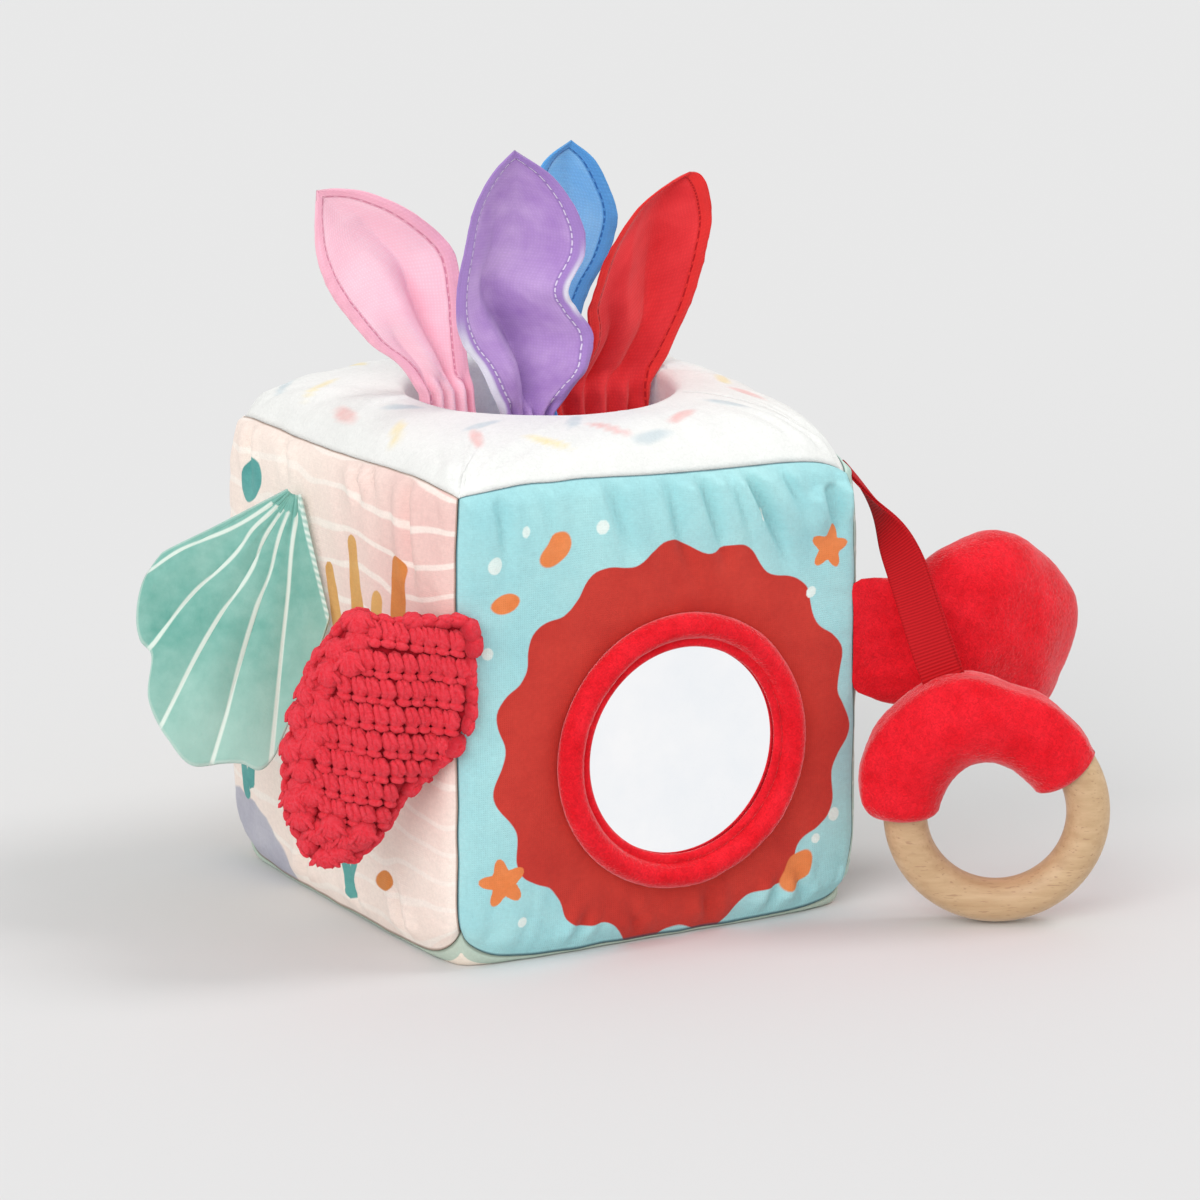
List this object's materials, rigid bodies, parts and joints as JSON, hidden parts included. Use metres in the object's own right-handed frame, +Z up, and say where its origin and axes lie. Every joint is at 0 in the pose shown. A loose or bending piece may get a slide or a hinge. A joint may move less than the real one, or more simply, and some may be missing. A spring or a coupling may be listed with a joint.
{
  "type": "soft fabric block",
  "caption": "Soft fabric play block with a top pocket of pull-out scarves, a plush-framed mirror, a shell-shaped flap, stuffed claw shapes and a wooden ring in a plush sleeve on a ribbon.",
  "frame": {"origin": "middle of the flat sole, on the floor under the block", "axes": "+Z up, -Y out of the mirror, +X to the right as the mirror is faced, where the ribbon hangs"},
  "size_m": [0.2571, 0.1871, 0.2144],
  "materials": {
    "aqua_print": "printed cotton, matt",
    "cream_print": "printed cotton, matt",
    "peach_print": "printed cotton, matt",
    "sea_green_print": "printed cotton, matt",
    "sage_cotton": "plain cotton, matt",
    "white_plush": "short-pile plush with printed dashes",
    "board_foam": "soft open-cell foam",
    "wadding": "polyester wadding",
    "lining_cotton": "plain woven cotton",
    "acrylic_mirror": "mirrored acrylic sheet",
    "red_plush": "short-pile plush",
    "pink_cotton": "thin plain cotton, hemmed",
    "purple_cotton": "thin plain cotton, hemmed",
    "blue_cotton": "thin plain cotton, hemmed",
    "red_cotton": "thin plain cotton, hemmed",
    "mint_velvet": "short velvet with printed rays",
    "crinkle_film": "thin clear film",
    "chenille_crochet": "crocheted chenille yarn",
    "beech": "oiled, smooth",
    "red_grosgrain": "ribbed ribbon"
  },
  "bodies": {
    "block": {"back_board": "board_foam", "back_cover": "cream_print", "bottom_board": "board_foam", "bottom_cover": "sage_cotton", "front_board": "board_foam", "front_cover": "aqua_print", "left_board": "board_foam", "left_cover": "peach_print", "right_board": "board_foam", "right_cover": "sea_green_print", "top_cover": "white_plush", "top_wadding": "wadding", "pocket_lining": "lining_cotton", "mirror_disc": "acrylic_mirror", "mirror_frame": "red_plush"},
    "scarf_pink": {"scarf_pink": "pink_cotton"},
    "scarf_purple": {"scarf_purple": "purple_cotton"},
    "scarf_blue": {"scarf_blue": "blue_cotton"},
    "scarf_red": {"scarf_red": "red_cotton"},
    "ribbon": {"ribbon_strap": "red_grosgrain"},
    "sleeve": {"ring_sleeve": "red_plush"},
    "ring": {"wooden_ring": "beech"},
    "plush_claw": {"plush_claw_skin": "red_plush", "plush_claw_filling": "wadding"},
    "crochet_claw": {"crochet_claw_skin": "chenille_crochet", "crochet_claw_filling": "wadding"},
    "shell_flap": {"shell_front": "mint_velvet", "shell_crinkle_film": "crinkle_film", "shell_back": "mint_velvet"}
  },
  "joints": [
    {"name": "scarf_pink_pull", "type": "slide", "parent": "block", "child": "scarf_pink", "axis": [0, 0, 1], "range_m": [0, 0.11]},
    {"name": "scarf_purple_pull", "type": "slide", "parent": "block", "child": "scarf_purple", "axis": [0, 0, 1], "range_m": [0, 0.11]},
    {"name": "scarf_blue_pull", "type": "slide", "parent": "block", "child": "scarf_blue", "axis": [0, 0, 1], "range_m": [0, 0.11]},
    {"name": "scarf_red_pull", "type": "slide", "parent": "block", "child": "scarf_red", "axis": [0, 0, 1], "range_m": [0, 0.11]},
    {"name": "ribbon_lift", "type": "hinge", "parent": "block", "child": "ribbon", "pos_m": [0.0629, -0.05666, 0.12739], "axis": [-0.1111, -0.9352, -0.3361], "range_deg": [-1, 100]},
    {"name": "sleeve_flip", "type": "hinge", "parent": "ribbon", "child": "sleeve", "pos_m": [0.0748, -0.09075, 0.06839], "axis": [0.8046, -0.4608, 0.3746], "range_deg": [-45, 20]},
    {"name": "ring_spin", "type": "hinge", "parent": "sleeve", "child": "ring", "pos_m": [0.0878, -0.0982, 0.0313], "axis": [-0.497, -0.8678, 0], "continuous": true},
    {"name": "plush_claw_swing", "type": "hinge", "parent": "block", "child": "plush_claw", "pos_m": [0.06448, -0.06549, 0.07347], "axis": [0, 0, 1], "range_deg": [-14, 42], "stiffness_Nm_per_rad": 0.02},
    {"name": "crochet_claw_swing", "type": "hinge", "parent": "block", "child": "crochet_claw", "pos_m": [-0.0643, -0.065, 0.08493], "axis": [0, 0, 1], "range_deg": [0, 100], "stiffness_Nm_per_rad": 0.02},
    {"name": "shell_swing", "type": "hinge", "parent": "block", "child": "shell_flap", "pos_m": [-0.0669, 0.0144, 0.1183], "axis": [0, 0.4802, 0.8771], "range_deg": [-50, 45], "stiffness_Nm_per_rad": 0.05}
  ]
}
